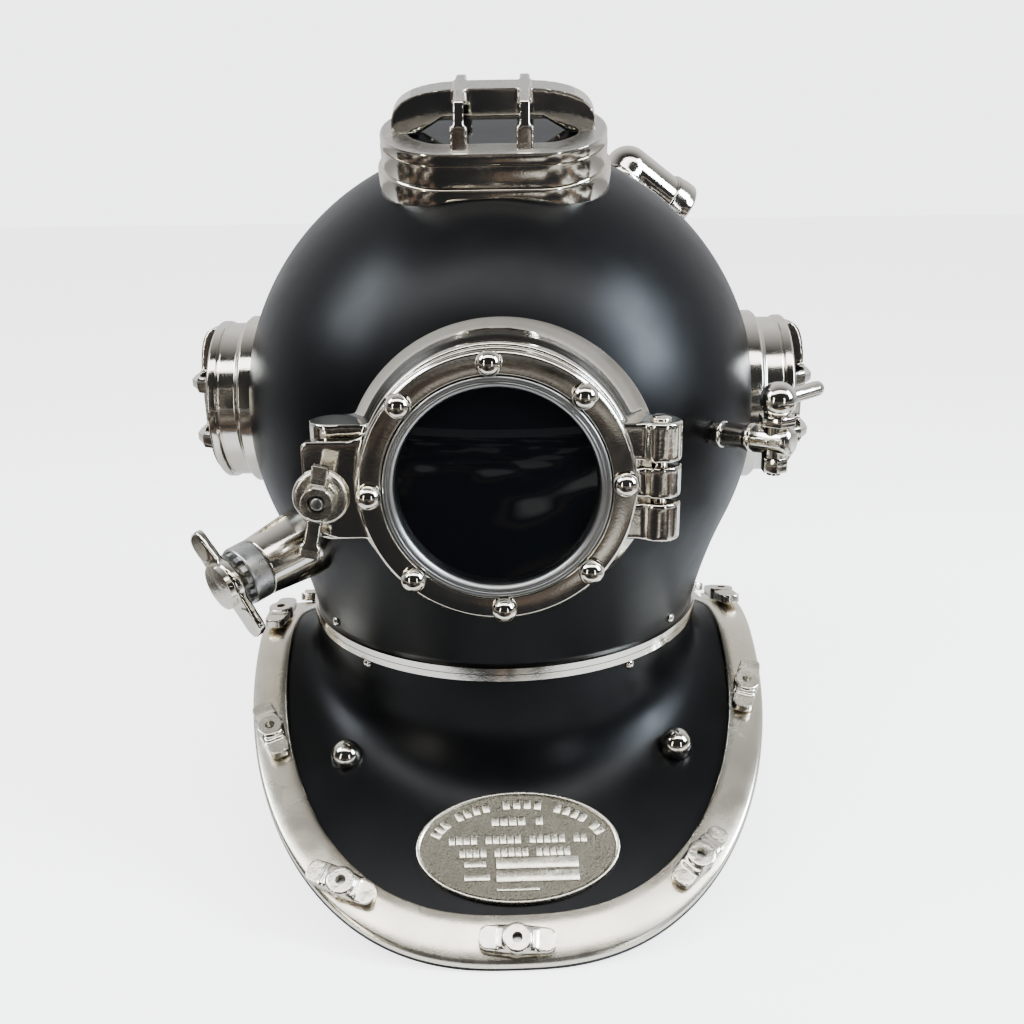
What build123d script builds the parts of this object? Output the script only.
from build123d import *
import math
import os

# A full-size decorative diving helmet: a spun bonnet with four windows, locked by a
# twisted neck ring on a breastplate that is edged with a brale strap and wing nuts.
# Millimetres, +Z up. The helmet looks towards -Y and stands on z = 0.

# ---- driving dimensions -------------------------------------------------------------
DOME_R = 158.0              # outside radius of the bonnet's sphere
BONNET_T = 2.5              # bonnet wall
NECK_R = 124.8              # outside radius where the bonnet and the collar end
DOME_END_DEPTH = 63.2       # depth below the sphere's centre where the neck's curve starts
NECK_DEPTH = 126.6          # depth of the bonnet's lower edge
RING_R = 127.2              # outside radius of both neck rings
RING_H = 3.8                # height of each neck ring's rim
RING_LUG_R = 119.0          # reach of the breastplate ring's locking lugs
RING_TUBE_R = 115.0
RING_BORE_R = 112.0
LUG_H = 4.4
LUG_ANGLE = 38.0            # width of one locking lug, in degrees
LUG_COUNT = 4
TWIST_GAP = 0.4             # vertical clearance between pieces that twist past each other
SLIDE_GAP = 0.4             # radial clearance of the same pieces
RUN_GAP = 0.05              # radial clearance of a shaft in its bore
FACE_GAP = 0.3              # clearance between faces that move past each other

BREAST_T = 3.2              # breastplate wall
BREAST_HALF_W = 163.5       # plan of the breastplate: a superellipse
BREAST_HALF_L = 221.5
BREAST_POWER = 2.53
SHOULDER_DEPTH = 153.6      # depth of the shoulders' crest below the sphere's centre
CREST_R = 91.6              # arch seen from the side: a crest arc and two flank arcs
CREST_HALF_DEG = 16.33
FLANK_R = 647.8
COLLAR_FILLET = 17.0
BREAST_TURN = 2.5          # the breastplate stands slightly turned under the bonnet
FOOT_CUT = 1.2              # the lobes' lowest edges are ground flat by this much
BRALE_W = 21.0              # brale strap
BRALE_T = 4.0
# nuts round the strap, in degrees from the front; the real ones aren't evenly spaced
NUT_ANGLES = (0, 30, 63, 97, 125, 152, 180, -152, -122, -90.5, -55.5, -27)
STUD_R = 2.7
STUD_H = 7.8                # stud ends stay below the top of their nuts
NUT_SPAN = 41.0
NUT_HUB_R = 8.2
NUT_H = 8.8
NUT_EAR_LOW = 1.2           # flat ears, lower than the hub
NUT_EAR_TOP = 6.2
NUT_EAR_W = 15.0            # width beside the hub
NUT_TIP_W = 13.0            # width near the tip
NUT_SINK_R = 3.6            # wider mouth of the nut's hole
NUT_SINK_DEPTH = 2.5
NUT_LIFT = 0.8              # nuts sit this far above the strap's curved face

PORT_X = 2.0                # front window, measured from the sphere's centre
PORT_Z = -4.4
DOOR_R = 68.6
DOOR_FACE = 177.4           # front face of the door
DOOR_T = 14.0
DOOR_OPENING_R = 50.2
GLASS_SEAT_R = 56.4
GLASS_T = 5.0
GLASS_BULGE = 4.5
GASKET_T = 1.2
RETAINER_T = 5.5
SEAT_GAP = 0.15             # radial play of glass and rings in their seats
DOOR_STUD_R = 62.7          # circle of the door's ball studs
DOOR_STUD_COUNT = 8
BALL_STUD_R = 6.1
STUD_TURN = -2.5            # the door's studs are drilled slightly turned, in degrees
TUBE_FLARE_R = 84.0
TUBE_R = 70.5
TUBE_BORE_R = 51.0

HINGE_X = 82.6              # door hinge
HINGE_FRONT = 160.0
KNUCKLE_R = 11.0
KNUCKLE_HALF = 8.0          # half height of the door's knuckle
HINGE_GAP = 2.6             # between the door's knuckle and the fixed ones
HINGE_HALF = 30.5           # half height of the whole hinge
HINGE_PIN_R = 4.0

LATCH_X = -84.9             # latch screw, and the ear that carries it
LATCH_Z = -8.4
EAR_TOP = 28.0              # the door's ear, above and below the latch screw
EAR_BOTTOM = -22.5
EAR_T = 9.5
LATCH_BOLT_R = 4.5
LATCH_DISC_R = 14.2
LATCH_DISC_T = 3.0
DOG_REACH = 15.0
LATCH_LUG_T = 13.0          # fixed lugs above and below the latch
LATCH_LUG_RISE = 5.5        # they reach this far past the door's ear
LUG_DEPTH = 30.0
LATCH_NUT_TURN = -11.0

SIDE_Z = 2.8                # side windows
SIDE_BASE_R = 52.5
SIDE_WALL_R = 48.0
SIDE_RIM_R = 49.5
SIDE_GLASS_R = 43.0
SIDE_OPENING_R = 38.0
SIDE_BASE_TOP = 157.5       # distances along the window's axis from the sphere's centre
SIDE_RIM_LOW = 170.0
SIDE_RIM_TOP = 176.0
SIDE_GUARD_H = 15.0
TOP_GUARD_H = 24.0
GUARD_SPINE_T = 13.0
GUARD_BAR_W = 7.0
GUARD_BAR_X = 17.0
GUARD_BAR_RISE = 0.6        # bars stand this far above the spine

TOP_TILT = 22.0             # top window leans forward
TOP_HALF_L = 63.5
TOP_HALF_W = 38.0
TOP_WALL_IN = 2.0           # the wall stands in from the base flange
TOP_RIM_T = 16.0
TOP_GUARD_IN = 7.0          # the guard stands in from the wall
TOP_BASE_TOP = 158.5
TOP_RIM_TOP = 176.5

EXHAUST_FOOT = (-112.0, 93.0, -60.7)    # (right, front, up)
EXHAUST_DIR = (-0.68, 0.70, -0.20)
EXHAUST_BASE_R = 20.5
EXHAUST_END_R = 16.5
EXHAUST_LEN = 34.0
EXHAUST_COLLAR_LEN = 12.0
EXHAUST_GAP = 5.0
EXHAUST_SPINDLE_R = 6.0
KNOB_T = 5.0
KNOB_BOSS_R = 15.0
KNOB_SPAN = 68.0
KNOB_TURN = 40.0
EXHAUST_TEETH = 14

COCK_FOOT = (120.0, 102.7, 3.6)
COCK_DIR = (0.76, 0.645, 0.05)
COCK_LEN = 46.0
COCK_CROSS = 36.0           # where the plug crosses the barrel
COCK_R = 7.7
COCK_NIPPLE_R = 6.2
COCK_PLUG_R = 4.2
COCK_HEX = 17.5
COCK_BALL_R = 9.6
COCK_LEVER_R = 4.2
COCK_LEVER_LEN = 32.0
COCK_LEVER_DIR = (0.82, -0.57, 0.08)
COCK_HEX_T = 5.0            # hexagonal collar under the ball

INLET_AT = (83.4, -67.0, 138.4)         # corner of the air inlet's elbow
INLET_END = (118.0, -79.0, 113.0)
INLET_R = 15.5
INLET_NUT_R = 18.4

NAMEPLATE_X = 2.3
NAMEPLATE_FRONT = 166.8
NAMEPLATE_HALF_W = 57.0
NAMEPLATE_HALF_H = 32.6
CHEST_STUDS = ((-93.0, 116.0), (104.0, 109.0))
CHEST_STUD_R = 9.2
CHEST_STUD_H = 13.5         # most of a ball stands clear
NECK_SCREW_R = 3.0


# ---- the arch of the breastplate ----------------------------------------------------
CREST_EDGE = CREST_R * math.sin(math.radians(CREST_HALF_DEG))
CREST_DROP = CREST_R * (1 - math.cos(math.radians(CREST_HALF_DEG)))
FLANK_C = CREST_EDGE - FLANK_R * math.sin(math.radians(CREST_HALF_DEG))
FLANK_DEPTH = SHOULDER_DEPTH + CREST_DROP + FLANK_R * math.cos(math.radians(CREST_HALF_DEG))


def arch_depth(front):
    """Depth of the breastplate's face below the sphere's centre."""
    front = abs(front)
    if front < CREST_EDGE:
        return SHOULDER_DEPTH + CREST_R - math.sqrt(CREST_R ** 2 - front ** 2)
    return FLANK_DEPTH - math.sqrt(FLANK_R ** 2 - (front - FLANK_C) ** 2)


def arch_slope(front):
    """Angle of the breastplate's face below level, in degrees, signed with front."""
    if abs(front) < CREST_EDGE:
        return math.degrees(math.asin(front / CREST_R))
    angle = math.degrees(math.asin((abs(front) - FLANK_C) / FLANK_R))
    return math.copysign(angle, front)


DOME_Z = arch_depth(BREAST_HALF_L) + BREAST_T - FOOT_CUT
RING_JOINT_Z = DOME_Z - NECK_DEPTH - RING_H
COLLAR_TOP_Z = RING_JOINT_Z - TWIST_GAP - RING_H


# ---- helpers ------------------------------------------------------------------------
def at(right, front, up):
    """A point given to the right, towards the front and up from the sphere's centre."""
    return Vector(right, -front, DOME_Z + up)


def towards(right, front, up):
    return Vector(right, -front, up).normalized()


def disc(plane, radius, low, high):
    return plane * Pos(0, 0, low) * Cylinder(
        radius, high - low, align=(Align.CENTER, Align.CENTER, Align.MIN))


def tube(plane, outer, inner, low, high):
    return disc(plane, outer, low, high) - disc(plane, inner, low - 1, high + 1)


def block(plane, x_range, y_range, z_range):
    size = [high - low for low, high in (x_range, y_range, z_range)]
    middle = [(high + low) / 2 for low, high in (x_range, y_range, z_range)]
    return plane * Pos(*middle) * Box(*size)


def turned(plane, points):
    """A body turned about the plane's own z axis from (radius, height) points."""
    face = Plane.XZ * make_face(Polyline(*points, close=True))
    return plane * revolve(face, Axis.Z)


def cap(radius, low, high):
    """A slice of a sphere standing on z = low, as wide as the radius, as tall as z = high."""
    rise = high - low
    ball_r = (radius ** 2 + rise ** 2) / (2 * rise)
    slab = Pos(0, 0, low) * Cylinder(3 * ball_r, rise, align=(Align.CENTER, Align.CENTER, Align.MIN))
    return Pos(0, 0, high - ball_r) * Sphere(ball_r) & slab


def dome_head(plane, radius, height):
    """A domed stud or screw head standing on the plane."""
    foot = height * 0.2
    return disc(plane, radius, 0, foot) + plane * cap(radius, foot, height)


def spun(plane, degrees):
    return Plane(plane.location * Rot(0, 0, degrees))


def hexagon(plane, across, low, high):
    shape = extrude(RegularPolygon(across / 2, 6, major_radius=False), high - low)
    return plane * Pos(0, 0, low) * shape


def capsule(half_length, half_width, low, high):
    """An upright prism with straight sides and round ends, long in x."""
    shape = extrude(SlotOverall(2 * half_length, 2 * half_width), high - low)
    return Pos(0, 0, low) * shape


DOME_PLANE = Plane((0, 0, DOME_Z))
FRONT_PLANE = Plane(at(PORT_X, 0, PORT_Z), x_dir=(1, 0, 0), z_dir=(0, -1, 0))
TOP_LEAN = math.radians(TOP_TILT)
TOP_PLANE = Plane(at(0, 0, 0), x_dir=(1, 0, 0), z_dir=towards(0, math.sin(TOP_LEAN), math.cos(TOP_LEAN)))
SIDE_PLANES = {
    "left": Plane(at(0, 0, SIDE_Z), x_dir=(0, 0, 1), z_dir=(-1, 0, 0)),
    "right": Plane(at(0, 0, SIDE_Z), x_dir=(0, 0, 1), z_dir=(1, 0, 0)),
}
BREAST_FRAME = Rot(0, 0, BREAST_TURN)


def on_dome(foot, direction):
    """A plane on the sphere above this point, square to a fitting's own axis."""
    spot = at(0, 0, 0) + towards(*foot) * DOME_R
    return Plane(spot, x_dir=(0, 0, 1), z_dir=towards(*direction))


EXHAUST_PLANE = on_dome(EXHAUST_FOOT, EXHAUST_DIR)
COCK_PLANE = on_dome(COCK_FOOT, COCK_DIR)


# ---- bonnet -------------------------------------------------------------------------
def bonnet_profile(radius, neck_r):
    """Half outline of the bonnet: sphere, then a curve that ends upright at the neck."""
    angle = math.asin(DOME_END_DEPTH / DOME_R)
    start = (radius * math.cos(angle), DOME_Z - radius * math.sin(angle))
    middle = (radius * math.cos(math.radians(35)), DOME_Z + radius * math.sin(math.radians(35)))
    sphere = ThreePointArc((0, DOME_Z + radius), middle, start)
    tangent = (-math.sin(angle), -math.cos(angle))
    neck = TangentArc(start, (neck_r, DOME_Z - NECK_DEPTH), tangent=tangent)
    close = Polyline((neck_r, DOME_Z - NECK_DEPTH), (0, DOME_Z - NECK_DEPTH), (0, DOME_Z + radius))
    return revolve(Plane.XZ * make_face(sphere + neck + close), Axis.Z)


def bonnet_solid():
    return bonnet_profile(DOME_R, NECK_R)


def bonnet_shell():
    body = bonnet_solid() - bonnet_profile(DOME_R - BONNET_T, NECK_R - BONNET_T)
    body -= disc(FRONT_PLANE, TUBE_BORE_R, 0, DOME_R + 10)
    for plane in SIDE_PLANES.values():
        body -= disc(plane, SIDE_OPENING_R, 0, DOME_R + 10)
    window = (TOP_HALF_L - TOP_WALL_IN - TOP_RIM_T, TOP_HALF_W - TOP_WALL_IN - TOP_RIM_T)
    body -= TOP_PLANE * capsule(*window, 0, DOME_R + 10)
    body -= disc(EXHAUST_PLANE, EXHAUST_SPINDLE_R + 3, -60, 20)
    body -= disc(COCK_PLANE, COCK_NIPPLE_R / 2, -30, 20)
    body -= disc(inlet_plane(), INLET_R - 4, -60, 20)
    return body


def bonnet_ring():
    """Rim under the bonnet, with inward lugs that lock under the breastplate's lugs."""
    plane = Plane((0, 0, RING_JOINT_Z))
    bore = RING_LUG_R + SLIDE_GAP
    body = tube(plane, RING_R, bore, 0, RING_H)
    body += tube(plane, NECK_R - BONNET_T, bore, RING_H, RING_H + 9)
    lugs = tube(plane, bore + 0.5, RING_TUBE_R + SLIDE_GAP, 0, LUG_H)
    return body + sectors(lugs, LUG_ANGLE, 0)


def sectors(body, width, start):
    """Keep the body only in evenly spaced sectors."""
    kept = None
    for index in range(LUG_COUNT):
        middle = start + index * 360 / LUG_COUNT
        reach = 3 * RING_R
        half = math.radians(width / 2)
        wedge = Polyline((0, 0), (reach * math.cos(half), -reach * math.sin(half)),
                         (reach * math.cos(half), reach * math.sin(half)), close=True)
        prism = Rot(0, 0, middle) * Pos(0, 0, -500) * extrude(make_face(wedge), 1200)
        piece = body & prism
        kept = piece if kept is None else kept + piece
    return kept


def breastplate_ring():
    plane = Plane((0, 0, COLLAR_TOP_Z))
    body = tube(plane, RING_R, RING_BORE_R, 0, RING_H)
    body += tube(plane, NECK_R - BREAST_T, RING_BORE_R, -10, 0)
    lug_low = RING_H + TWIST_GAP + LUG_H + TWIST_GAP
    body += tube(plane, RING_TUBE_R, RING_BORE_R, RING_H, lug_low + LUG_H)
    lugs = tube(plane, RING_LUG_R, RING_TUBE_R - 0.5, lug_low, lug_low + LUG_H)
    body += sectors(lugs, LUG_ANGLE, 0)
    return body - tube(plane, NECK_R, NECK_R - 4, RING_H - 2, RING_H + 0.1)


def neck_gasket():
    plane = Plane((0, 0, COLLAR_TOP_Z))
    return tube(plane, NECK_R, NECK_R - 4, RING_H - 2, RING_H + TWIST_GAP - FACE_GAP)


def neck_screws(radius, up, degrees):
    """Round-headed screws that stand out sideways from the neck."""
    heads = []
    for angle in degrees:
        turn = math.radians(angle)
        out = towards(math.sin(turn), math.cos(turn), 0)
        heads.append(dome_head(Plane(at(0, 0, up) + out * radius, z_dir=out), NECK_SCREW_R, 2.6))
    return Compound(heads)


# ---- front window and door ----------------------------------------------------------
def front_port_tube():
    """Flared tube between the bonnet and the door, with the fixed hinge and latch lugs."""
    back = DOOR_FACE - DOOR_T - FACE_GAP
    edge = (TUBE_R, back - 4)
    flare = ThreePointArc((TUBE_FLARE_R, 132), (TUBE_R + 2.6, 144), edge)
    outline = flare + Polyline(edge, (TUBE_R - 1.5, back), (TUBE_BORE_R, back), (TUBE_BORE_R, 100),
                               (TUBE_FLARE_R, 100), (TUBE_FLARE_R, 132))
    body = FRONT_PLANE * revolve(Plane.XZ * make_face(outline), Axis.Z)
    for low, high in ((KNUCKLE_HALF + HINGE_GAP, HINGE_HALF), (-HINGE_HALF, -KNUCKLE_HALF - HINGE_GAP)):
        hinge = Plane(at(HINGE_X, HINGE_FRONT, PORT_Z))
        body += disc(hinge, KNUCKLE_R, low, high)
        body += block(FRONT_PLANE, (52, HINGE_X - PORT_X), (low, high), (130, HINGE_FRONT + 1.5))
    top, bottom = EAR_TOP + LATCH_LUG_RISE, EAR_BOTTOM - LATCH_LUG_RISE
    for low, high in ((top - LATCH_LUG_T, top), (bottom, bottom + LATCH_LUG_T)):
        lug = Plane(at(LATCH_X + 4, back - LUG_DEPTH / 2, LATCH_Z))
        body += disc(lug, LUG_DEPTH / 2 - 3, low, high)
        body += block(lug, (0, 35), (-LUG_DEPTH / 2 + 3, LUG_DEPTH / 2 - 3), (low, high))
    body -= bonnet_solid()
    body -= disc(FRONT_PLANE, TUBE_BORE_R, 90, 200)
    body -= disc(Plane(at(HINGE_X, HINGE_FRONT, PORT_Z)), HINGE_PIN_R, -HINGE_HALF - 1, HINGE_HALF + 1)
    room = KNUCKLE_HALF + HINGE_GAP
    body -= disc(Plane(at(HINGE_X, HINGE_FRONT, PORT_Z)), KNUCKLE_R + 1.2, -room, room)
    keeper = Plane(at(LATCH_X, 0, LATCH_Z), x_dir=(1, 0, 0), z_dir=(0, -1, 0))
    body -= block(keeper, (DOG_REACH - 4, DOG_REACH + 3), (-8.2, 8.2), (back - 16, back - 5))
    return body


def hinge_pin():
    plane = Plane(at(HINGE_X, HINGE_FRONT, PORT_Z))
    low, high = -HINGE_HALF, HINGE_HALF
    body = disc(plane, HINGE_PIN_R, low, high)
    body += dome_head(plane.offset(high), HINGE_PIN_R + 1.6, 2.6)
    under = Plane(plane.origin + Vector(0, 0, low), z_dir=(0, 0, -1))
    return body + dome_head(under, HINGE_PIN_R + 1.6, 2.6)


def door_ring():
    """Ring that carries the glass, with its hinge knuckle and latch ear."""
    low = DOOR_FACE - DOOR_T
    seat = DOOR_FACE - RETAINER_T + 0.5 - GLASS_T - GASKET_T
    body = turned(FRONT_PLANE, [
        (DOOR_OPENING_R, low), (DOOR_R - 1.2, low), (DOOR_R, low + 1.2), (DOOR_R, low + 5),
        (DOOR_R - 0.9, low + 5.6), (DOOR_R - 0.9, low + 6.6), (DOOR_R, low + 7.2),
        (DOOR_R, DOOR_FACE - 1.6), (DOOR_R - 1.6, DOOR_FACE), (GLASS_SEAT_R, DOOR_FACE),
        (GLASS_SEAT_R, seat), (DOOR_OPENING_R, seat)])
    hinge = Plane(at(HINGE_X, HINGE_FRONT, PORT_Z))
    body += disc(hinge, KNUCKLE_R, -KNUCKLE_HALF, KNUCKLE_HALF)
    body += block(FRONT_PLANE, (60, HINGE_X - PORT_X), (-KNUCKLE_HALF, KNUCKLE_HALF),
                  (low + 0.2, HINGE_FRONT + KNUCKLE_R))
    body += latch_ear(low)
    body -= disc(FRONT_PLANE, GLASS_SEAT_R, seat, DOOR_FACE + 5)
    body -= disc(FRONT_PLANE, DOOR_OPENING_R, low - 5, DOOR_FACE + 5)
    body -= disc(hinge, HINGE_PIN_R + RUN_GAP, -KNUCKLE_HALF - 1, KNUCKLE_HALF + 1)
    return body - disc(latch_plane(), LATCH_BOLT_R + RUN_GAP, low - 5, DOOR_FACE + 5)


def latch_plane():
    return Plane(at(LATCH_X, 0, LATCH_Z), x_dir=(1, 0, 0), z_dir=(0, -1, 0))


def latch_ear(low):
    """Broad ear that blends from the ring to the latch."""
    left = LATCH_X - PORT_X - 8.7
    shift = LATCH_Z - PORT_Z
    top, bottom = shift + EAR_TOP, shift + EAR_BOTTOM
    outline = Polyline((left, top - 2), (left, bottom + 12), (left + 9, bottom), (-62, bottom - 4),
                       (-56, top + 14), (-66, top + 2), (left + 2, top), close=True)
    return FRONT_PLANE * Pos(0, 0, low) * extrude(make_face(outline), EAR_T)


def door_gasket():
    seat = DOOR_FACE - RETAINER_T + 0.5 - GLASS_T - GASKET_T
    return tube(FRONT_PLANE, GLASS_SEAT_R - SEAT_GAP, DOOR_OPENING_R, seat, seat + GASKET_T)


def door_glass():
    low = DOOR_FACE - RETAINER_T + 0.5 - GLASS_T
    body = disc(FRONT_PLANE, GLASS_SEAT_R - SEAT_GAP, low, low + GLASS_T)
    return body + FRONT_PLANE * cap(DOOR_OPENING_R - 0.6, low + GLASS_T, low + GLASS_T + GLASS_BULGE)


def retaining_ring():
    low = DOOR_FACE - RETAINER_T + 0.5
    return turned(FRONT_PLANE, [
        (DOOR_OPENING_R, low), (GLASS_SEAT_R - SEAT_GAP, low),
        (GLASS_SEAT_R - SEAT_GAP, low + RETAINER_T - 0.6),
        (GLASS_SEAT_R - 0.8, low + RETAINER_T), (DOOR_OPENING_R + 1.6, low + RETAINER_T),
        (DOOR_OPENING_R, low + RETAINER_T - 1.6)])


def door_studs():
    heads = []
    for index in range(DOOR_STUD_COUNT):
        angle = math.radians(STUD_TURN + index * 360 / DOOR_STUD_COUNT)
        spot = FRONT_PLANE.from_local_coords(
            Vector(DOOR_STUD_R * math.sin(angle), DOOR_STUD_R * math.cos(angle), DOOR_FACE))
        heads.append(dome_head(Plane(spot, z_dir=(0, -1, 0)), BALL_STUD_R, BALL_STUD_R * 1.2))
    return Compound(heads)


def latch_bolt():
    """Screw through the ear, with a dog behind it that turns into the tube's keeper."""
    plane = latch_plane()
    low = DOOR_FACE - DOOR_T
    face = low + EAR_T
    body = disc(plane, LATCH_BOLT_R, low - 14, face + 22)
    dog = block(plane, (-5, 5), (-DOG_REACH + 1, DOG_REACH), (low - 13, low - 8))
    return body + (dog & disc(plane, DOG_REACH, low - 20, low))


def latch_washer():
    face = DOOR_FACE - DOOR_T + EAR_T + FACE_GAP
    edge, top = LATCH_DISC_R, face + LATCH_DISC_T
    return turned(latch_plane(), [(LATCH_BOLT_R, face), (edge, face), (edge, top - 1), (edge - 1, top),
                                  (LATCH_BOLT_R, top)])


def latch_nut():
    """Wing nut with one short and one long ear."""
    low = DOOR_FACE - DOOR_T + EAR_T + FACE_GAP + LATCH_DISC_T + FACE_GAP
    plane = spun(latch_plane(), LATCH_NUT_TURN).offset(low)
    body = disc(plane, 8.6, 0, 9.5)
    for reach, sign in ((21.5, 1), (27.0, -1)):
        outline = Polyline((sign * 3, 0.8), (sign * 9, 0.8), (sign * (reach - 6), 9), (sign * reach, 9.5),
                           (sign * reach, 14), (sign * (reach - 7), 14), (sign * 7, 8), (sign * 3, 8), close=True)
        ear = extrude(Plane.YZ * make_face(outline), 3.8, both=True)
        body += plane * ear
    return body - disc(plane, LATCH_BOLT_R + RUN_GAP, -5, 20) - disc(plane, 6.2, 7.5, 20)


# ---- side and top windows -----------------------------------------------------------
def guard(half_length, half_width, height):
    """Cast guard: a spine along x and two bars across it, standing on z = 0."""
    flat = half_length * 0.52
    arc = ThreePointArc((half_length, 0), (half_length * 0.90, height * 0.62), (flat, height))
    back = ThreePointArc((-flat, height), (-half_length * 0.90, height * 0.62), (-half_length, 0))
    outline = arc + Line((flat, height), (-flat, height)) + back + Line((-half_length, 0), (half_length, 0))
    spine = extrude(Plane.XZ * make_face(outline), GUARD_SPINE_T / 2, both=True)
    slot = Polyline((-half_length * 0.72, -1), (-GUARD_BAR_X - 4, height * 0.36),
                    (GUARD_BAR_X + 4, height * 0.36), (half_length * 0.72, -1), close=True)
    body = spine - extrude(Plane.XZ * make_face(slot), GUARD_SPINE_T, both=True)
    for middle in (-GUARD_BAR_X, GUARD_BAR_X):
        reach = half_width if half_width < half_length else math.sqrt(half_width ** 2 - middle ** 2)
        top = height + GUARD_BAR_RISE
        bar = Polyline((-reach, 0), (-reach * 0.86, height * 0.55), (-reach * 0.45, top), (reach * 0.45, top),
                       (reach * 0.86, height * 0.55), (reach, 0), (reach - 5, 0), (reach * 0.74, height * 0.5),
                       (reach * 0.36, top - 5), (-reach * 0.36, top - 5), (-reach * 0.74, height * 0.5),
                       (-reach + 5, 0), close=True)
        body += Pos(middle, 0, 0) * extrude(Plane.YZ * make_face(bar), GUARD_BAR_W / 2, both=True)
    return body


def side_port_frame(side):
    low = 130.0
    body = turned(SIDE_PLANES[side], [
        (SIDE_OPENING_R, low), (SIDE_BASE_R, low), (SIDE_BASE_R, SIDE_BASE_TOP - 1.5),
        (SIDE_BASE_R - 1.5, SIDE_BASE_TOP), (SIDE_WALL_R, SIDE_BASE_TOP + 1), (SIDE_WALL_R, SIDE_RIM_LOW - 0.5),
        (SIDE_RIM_R, SIDE_RIM_LOW + 0.5), (SIDE_RIM_R, SIDE_RIM_TOP - 1), (SIDE_RIM_R - 1.5, SIDE_RIM_TOP),
        (SIDE_GLASS_R, SIDE_RIM_TOP), (SIDE_GLASS_R, SIDE_RIM_TOP - 7), (SIDE_OPENING_R, SIDE_RIM_TOP - 7)])
    return body - bonnet_solid()


def side_port_glass(side):
    return disc(SIDE_PLANES[side], SIDE_GLASS_R - SEAT_GAP, SIDE_RIM_TOP - 7, SIDE_RIM_TOP - 1.5)


def side_port_guard(side):
    plane = SIDE_PLANES[side].offset(SIDE_RIM_TOP)
    return plane * guard(SIDE_RIM_R - 2.5, SIDE_RIM_R - 2.5, SIDE_GUARD_H)


def top_port_frame():
    wall_l, wall_w = TOP_HALF_L - TOP_WALL_IN, TOP_HALF_W - TOP_WALL_IN
    body = capsule(TOP_HALF_L, TOP_HALF_W, 110, TOP_BASE_TOP)
    body += capsule(wall_l, wall_w, TOP_BASE_TOP - 1, TOP_RIM_TOP - 5)
    body += capsule(wall_l + 0.8, wall_w + 0.8, TOP_RIM_TOP - 6, TOP_RIM_TOP)
    body -= capsule(wall_l - TOP_RIM_T, wall_w - TOP_RIM_T, 100, TOP_RIM_TOP + 1)
    body -= capsule(wall_l - TOP_RIM_T + 3, wall_w - TOP_RIM_T + 3, TOP_RIM_TOP - 7, TOP_RIM_TOP + 1)
    return TOP_PLANE * body - bonnet_solid()


def top_port_glass():
    half_l = TOP_HALF_L - TOP_WALL_IN - TOP_RIM_T + 3 - SEAT_GAP
    half_w = TOP_HALF_W - TOP_WALL_IN - TOP_RIM_T + 3 - SEAT_GAP
    return TOP_PLANE * capsule(half_l, half_w, TOP_RIM_TOP - 7, TOP_RIM_TOP - 1.5)


def top_port_guard():
    half_l, half_w = TOP_HALF_L - TOP_WALL_IN - TOP_GUARD_IN, TOP_HALF_W - TOP_WALL_IN - TOP_GUARD_IN
    return TOP_PLANE * Pos(0, 0, TOP_RIM_TOP) * guard(half_l, half_w, TOP_GUARD_H)


# ---- valves and fittings ------------------------------------------------------------
def exhaust_body():
    body = turned(EXHAUST_PLANE, [
        (EXHAUST_SPINDLE_R + 3, -40), (EXHAUST_BASE_R, -40), (EXHAUST_BASE_R, 4),
        (EXHAUST_END_R, EXHAUST_LEN), (EXHAUST_SPINDLE_R + 3, EXHAUST_LEN)])
    return body - bonnet_solid()


def exhaust_collar():
    end = EXHAUST_LEN + EXHAUST_COLLAR_LEN
    body = tube(EXHAUST_PLANE, EXHAUST_END_R + 0.6, EXHAUST_SPINDLE_R + RUN_GAP, EXHAUST_LEN, end)
    for index in range(EXHAUST_TEETH):
        spot = spun(EXHAUST_PLANE, index * 360 / EXHAUST_TEETH)
        body += block(spot, (EXHAUST_END_R - 5, EXHAUST_END_R - 1), (-1.6, 1.6), (end - 1, end + 3.2))
    return body


def exhaust_knob():
    low = EXHAUST_LEN + EXHAUST_COLLAR_LEN + EXHAUST_GAP
    plane = spun(EXHAUST_PLANE, KNOB_TURN)
    body = disc(plane, EXHAUST_SPINDLE_R, 6, low + 1)
    body += disc(plane, KNOB_BOSS_R - 1, low, low + KNOB_T)
    body += disc(plane, KNOB_BOSS_R - 2, low, low + KNOB_T + 3.5)
    half = KNOB_SPAN / 2
    for sign in (-1, 1):
        wing = SlotCenterToCenter(half - 9, 17)
        body += plane * Pos(sign * half / 2 + sign * 0.5, 0, low) * extrude(wing, KNOB_T)
    return body


def spitcock_body():
    """Nipple, stepped barrel and cross-drilled end of the spit cock."""
    body = turned(COCK_PLANE, [
        (0, -8), (COCK_NIPPLE_R, -8), (COCK_NIPPLE_R, 2), (COCK_R - 0.6, 3), (COCK_R - 0.6, 5.5),
        (COCK_NIPPLE_R, 6), (COCK_NIPPLE_R, 7), (COCK_R - 0.8, 8), (COCK_R - 0.8, 20), (COCK_R, 20.6),
        (COCK_R, 22.6), (COCK_R - 1, 23.2), (COCK_R - 1, 24), (COCK_R, 24.6), (COCK_R, COCK_LEN - 3),
        (COCK_R - 2.5, COCK_LEN - 0.6), (0, COCK_LEN)])
    plug = cock_cross_plane()
    body += disc(plug, COCK_PLUG_R + 2.6, -COCK_R - 0.6, COCK_R + 0.6)
    return body - bonnet_solid() - disc(plug, COCK_PLUG_R + RUN_GAP, -20, 20)


def cock_cross_plane():
    return Plane(COCK_PLANE.origin + COCK_PLANE.z_dir * COCK_CROSS, z_dir=(0, 0, 1))


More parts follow.
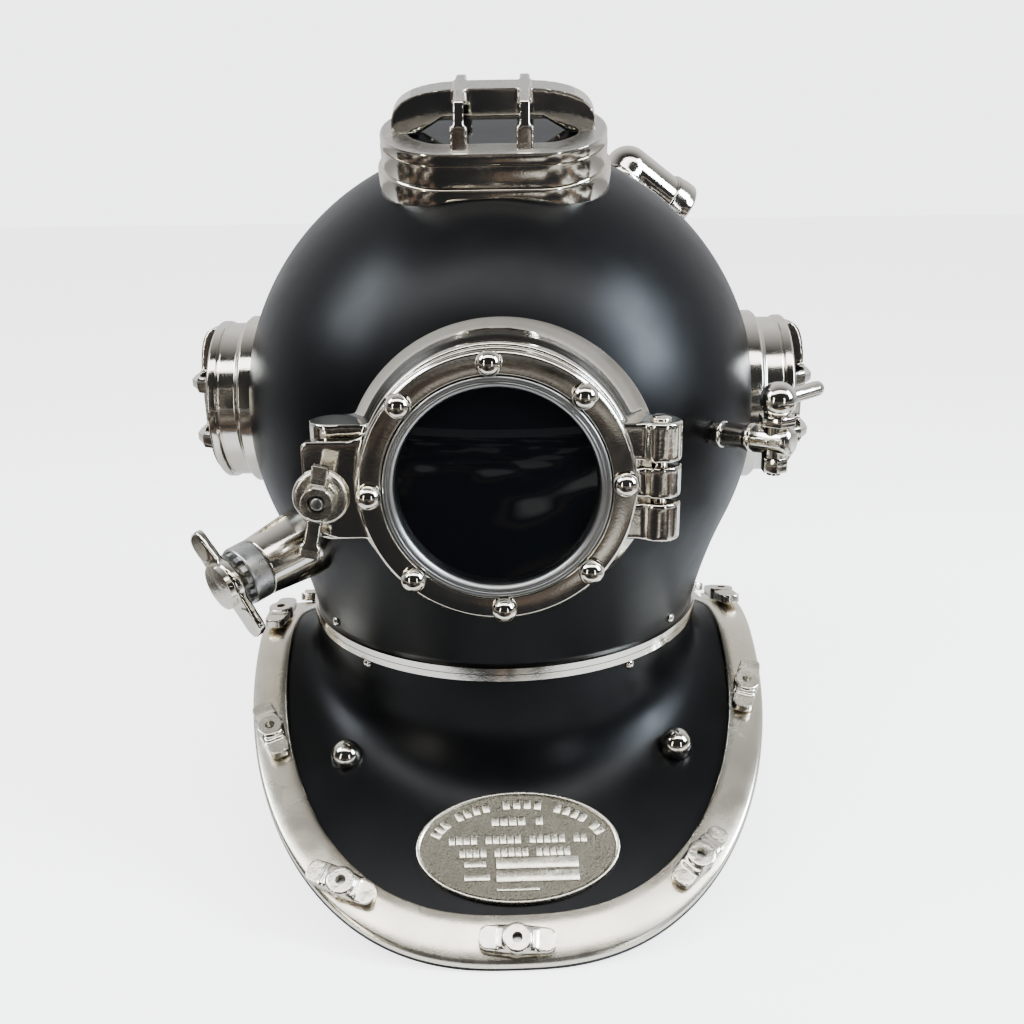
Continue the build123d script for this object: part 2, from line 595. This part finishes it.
def spitcock_lever():
    """Plug, ball and lever that turn together, with the nut under the barrel."""
    plug = cock_cross_plane()
    top = COCK_R + 0.6 + FACE_GAP
    body = disc(plug, COCK_PLUG_R, -top - 1, top + 2)
    body += hexagon(plug, COCK_HEX, top, top + COCK_HEX_T)
    ball = plug.origin + Vector(0, 0, top + COCK_HEX_T - 1.5 + COCK_BALL_R)
    body += Pos(*ball) * Sphere(COCK_BALL_R)
    body += disc(plug, COCK_HEX / 2 - 1.5, top + COCK_HEX_T - 1, top + COCK_HEX_T + 2.5)
    lever = Plane(ball, z_dir=towards(*COCK_LEVER_DIR))
    body += disc(lever, COCK_LEVER_R, 0, COCK_LEVER_LEN)
    body += hexagon(plug, 12.5, -top - 8, -top)
    return body + disc(plug, COCK_PLUG_R - 0.5, -top - 10, -top - 7)


def inlet_plane():
    corner = Vector(*INLET_AT)
    return Plane(at(*INLET_AT), z_dir=towards(*corner))


def air_inlet_elbow():
    corner = at(*INLET_AT)
    end = at(*INLET_END)
    along = Plane(corner, z_dir=(end - corner).normalized())
    length = (end - corner).length
    body = disc(inlet_plane(), INLET_R, -60, 0) + disc(inlet_plane(), INLET_R + 5, -60, -8)
    body += Pos(corner) * Sphere(INLET_R)
    body += disc(along, INLET_R, 0, length)
    body -= disc(along, INLET_R - 4, 6, length + 1)
    return body - bonnet_solid()


def air_inlet_nut():
    corner = at(*INLET_AT)
    end = at(*INLET_END)
    along = Plane(corner, z_dir=(end - corner).normalized())
    length = (end - corner).length
    return tube(along, INLET_NUT_R, INLET_R, length - 13, length + 2)


# ---- breastplate --------------------------------------------------------------------
def plan_points(inset, count=40):
    """Points of the breastplate's plan, moved inwards square to its edge."""
    points = []
    for index in range(count):
        turn = 2 * math.pi * index / count
        across, along = math.cos(turn), math.sin(turn)
        x = BREAST_HALF_W * math.copysign(abs(across) ** (2 / BREAST_POWER), across)
        y = BREAST_HALF_L * math.copysign(abs(along) ** (2 / BREAST_POWER), along)
        slope_x = math.copysign(abs(x / BREAST_HALF_W) ** (BREAST_POWER - 1) / BREAST_HALF_W, x)
        slope_y = math.copysign(abs(y / BREAST_HALF_L) ** (BREAST_POWER - 1) / BREAST_HALF_L, y)
        size = math.hypot(slope_x, slope_y)
        points.append((x - inset * slope_x / size, y - inset * slope_y / size))
    return points


def plan_prism(inset):
    outline = Spline(*plan_points(inset), periodic=True)
    return Pos(0, 0, -100) * extrude(make_face(outline), DOME_Z + 200)


def below_arch(rise):
    """Everything below the arch of the breastplate, raised by so much."""
    end = BREAST_HALF_L + 30
    middle = (CREST_EDGE + end) / 2

    def spot(front):
        return (front, DOME_Z - arch_depth(front) + rise)
    crest = ThreePointArc(spot(-CREST_EDGE), spot(0), spot(CREST_EDGE))
    front = ThreePointArc(spot(CREST_EDGE), spot(middle), spot(end))
    rear = ThreePointArc(spot(-end), spot(-middle), spot(-CREST_EDGE))
    floor = Polyline(spot(end), (end, -80), (-end, -80), spot(-end))
    side = make_face(rear + crest + front + floor)
    return extrude(Plane.YZ * side, BREAST_HALF_W + 30, both=True)


def breast_solid(inset, plan):
    """Breastplate filled solid: the arch, the collar and the large fillet between."""
    radius = NECK_R - inset
    body = below_arch(-inset) & plan
    body += disc(Plane.XY, radius, 0, COLLAR_TOP_Z + (inset > 0))
    seam = [edge for edge in body.edges()
            if all(abs(math.hypot((edge @ part).X, (edge @ part).Y) - radius) < 0.1
                   and (edge @ part).Z < COLLAR_TOP_Z - 1 and (edge @ part).Z > 20
                   for part in (0, 0.2, 0.5, 0.8, 1))]
    return fillet(seam, COLLAR_FILLET + inset * 0.5)


def breastplate_shell():
    body = breast_solid(0, plan_prism(0)) - breast_solid(BREAST_T, plan_prism(-8))
    body -= disc(Plane.XY, NECK_R - BREAST_T, 0, COLLAR_TOP_Z + 5)
    body &= Pos(0, 0, 250) * Box(900, 900, 500)
    return BREAST_FRAME * body


def brale():
    body = (below_arch(BRALE_T) - below_arch(0)) & (plan_prism(0) - plan_prism(BRALE_W))
    for frame in nut_frames():
        body -= disc(frame, STUD_R + SEAT_GAP, -12, 12)
    return BREAST_FRAME * body


def plan_spot(degrees):
    """Point at an angle from the front on the strap's centre line."""
    half_w, half_l = BREAST_HALF_W - BRALE_W / 2, BREAST_HALF_L - BRALE_W / 2
    turn = math.radians(degrees)
    across, along = math.sin(turn), math.cos(turn)
    reach = (abs(across / half_w) ** BREAST_POWER + abs(along / half_l) ** BREAST_POWER) ** (-1 / BREAST_POWER)
    return across * reach, along * reach


def nut_frames():
    """A plane on the strap for each wing nut: z square to the strap, x along it."""
    frames = []
    for angle in NUT_ANGLES:
        right, front = plan_spot(angle)
        before, after = plan_spot(angle - 1), plan_spot(angle + 1)
        slope = math.radians(arch_slope(front))
        normal = towards(0, math.sin(slope), math.cos(slope))
        spot = at(right, front, -arch_depth(front)) + normal * BRALE_T * math.cos(slope)
        run = Vector(after[0] - before[0], before[1] - after[1], 0)
        run = (run - normal * run.dot(normal)).normalized()
        frames.append(Plane(spot, x_dir=run, z_dir=normal))
    return frames


def brale_studs():
    studs = [disc(frame, STUD_R, -BRALE_T - 1, STUD_H) for frame in nut_frames()]
    return BREAST_FRAME * Compound(studs)


def wing_nut(frame):
    """A round hub with a sunk hole, between two lower flat ears."""
    half, root, tip = NUT_SPAN / 2, NUT_EAR_W / 2, NUT_TIP_W / 2
    hub = Cylinder(NUT_HUB_R, NUT_H, align=(Align.CENTER, Align.CENTER, Align.MIN))
    outline = Polyline((-half, 0), (-half + 1, tip - 2.5), (-half + 4, tip), (0, root), (half - 4, tip),
                       (half - 1, tip - 2.5), (half, 0), (half - 1, 2.5 - tip), (half - 4, -tip), (0, -root),
                       (-half + 4, -tip), (-half + 1, 2.5 - tip), close=True)
    ears = Pos(0, 0, NUT_EAR_LOW) * extrude(make_face(outline), NUT_EAR_TOP - NUT_EAR_LOW)
    body = hub + ears - Cylinder(STUD_R + RUN_GAP, 60)
    body -= Pos(0, 0, NUT_H - NUT_SINK_DEPTH) * Cylinder(
        NUT_SINK_R, 10, align=(Align.CENTER, Align.CENTER, Align.MIN))
    return BREAST_FRAME * (frame * Pos(0, 0, NUT_LIFT) * body)


def chest_studs():
    heads = []
    for right, front in CHEST_STUDS:
        slope = math.radians(arch_slope(front))
        normal = towards(0, math.sin(slope), math.cos(slope))
        seat = at(right, front, -arch_depth(front)) - normal * 0.4
        heads.append(dome_head(Plane(seat, z_dir=normal), CHEST_STUD_R, CHEST_STUD_H))
    return Compound(heads)


def nameplate():
    """Oval cast plate with a raised rim and two blank boxes."""
    front = NAMEPLATE_FRONT
    slope = math.radians(arch_slope(front))
    normal = towards(0, math.sin(slope), math.cos(slope))
    plane = Plane(at(NAMEPLATE_X, front, -arch_depth(front)), x_dir=(1, 0, 0), z_dir=normal)
    body = Pos(0, 0, -1.2) * extrude(Ellipse(NAMEPLATE_HALF_W, NAMEPLATE_HALF_H), 3.2)
    rim = Ellipse(NAMEPLATE_HALF_W, NAMEPLATE_HALF_H) - Ellipse(NAMEPLATE_HALF_W - 2.2, NAMEPLATE_HALF_H - 2.2)
    body += extrude(rim, 3.2)
    for low in (-16.0, -25.0):
        body += Pos(8, low + 3.5, 2) * Box(44, 7, 1.6, align=(Align.CENTER, Align.CENTER, Align.MIN))
    return BREAST_FRAME * (plane * body)


# ---- write one file for each piece --------------------------------------------------
def pieces():
    made = {
        "bonnet_shell": bonnet_shell(),
        "bonnet_ring": bonnet_ring(),
        "bonnet_screws": neck_screws(NECK_R + 1.4, -NECK_DEPTH + 7, (-53, 54, -130, 130)),
        "front_port_tube": front_port_tube(),
        "hinge_pin": hinge_pin(),
        "door_ring": door_ring(),
        "door_gasket": door_gasket(),
        "door_glass": door_glass(),
        "retaining_ring": retaining_ring(),
        "door_studs": door_studs(),
        "latch_bolt": latch_bolt(),
        "latch_washer": latch_washer(),
        "latch_nut": latch_nut(),
        "top_port_frame": top_port_frame(),
        "top_port_glass": top_port_glass(),
        "top_port_guard": top_port_guard(),
        "exhaust_body": exhaust_body(),
        "exhaust_collar": exhaust_collar(),
        "exhaust_knob": exhaust_knob(),
        "spitcock_body": spitcock_body(),
        "spitcock_lever": spitcock_lever(),
        "air_inlet_elbow": air_inlet_elbow(),
        "air_inlet_nut": air_inlet_nut(),
        "breastplate_shell": breastplate_shell(),
        "breastplate_ring": breastplate_ring(),
        "neck_gasket": neck_gasket(),
        "collar_screws": neck_screws(NECK_R - 0.3, -NECK_DEPTH - 2 * RING_H - 4, (-40, 37.5, -140, 140)),
        "brale": brale(),
        "brale_studs": brale_studs(),
        "chest_studs": chest_studs(),
        "nameplate": nameplate(),
    }
    for side in SIDE_PLANES:
        made[f"{side}_port_frame"] = side_port_frame(side)
        made[f"{side}_port_glass"] = side_port_glass(side)
        made[f"{side}_port_guard"] = side_port_guard(side)
    for index, frame in enumerate(nut_frames()):
        made[f"wing_nut_{index + 1:02d}"] = wing_nut(frame)
    return made


os.makedirs("parts", exist_ok=True)
for name, shape in pieces().items():
    export_step(shape, f"parts/{name}.step")
    print(name, len(shape.solids()), round(shape.volume / 1000, 1))
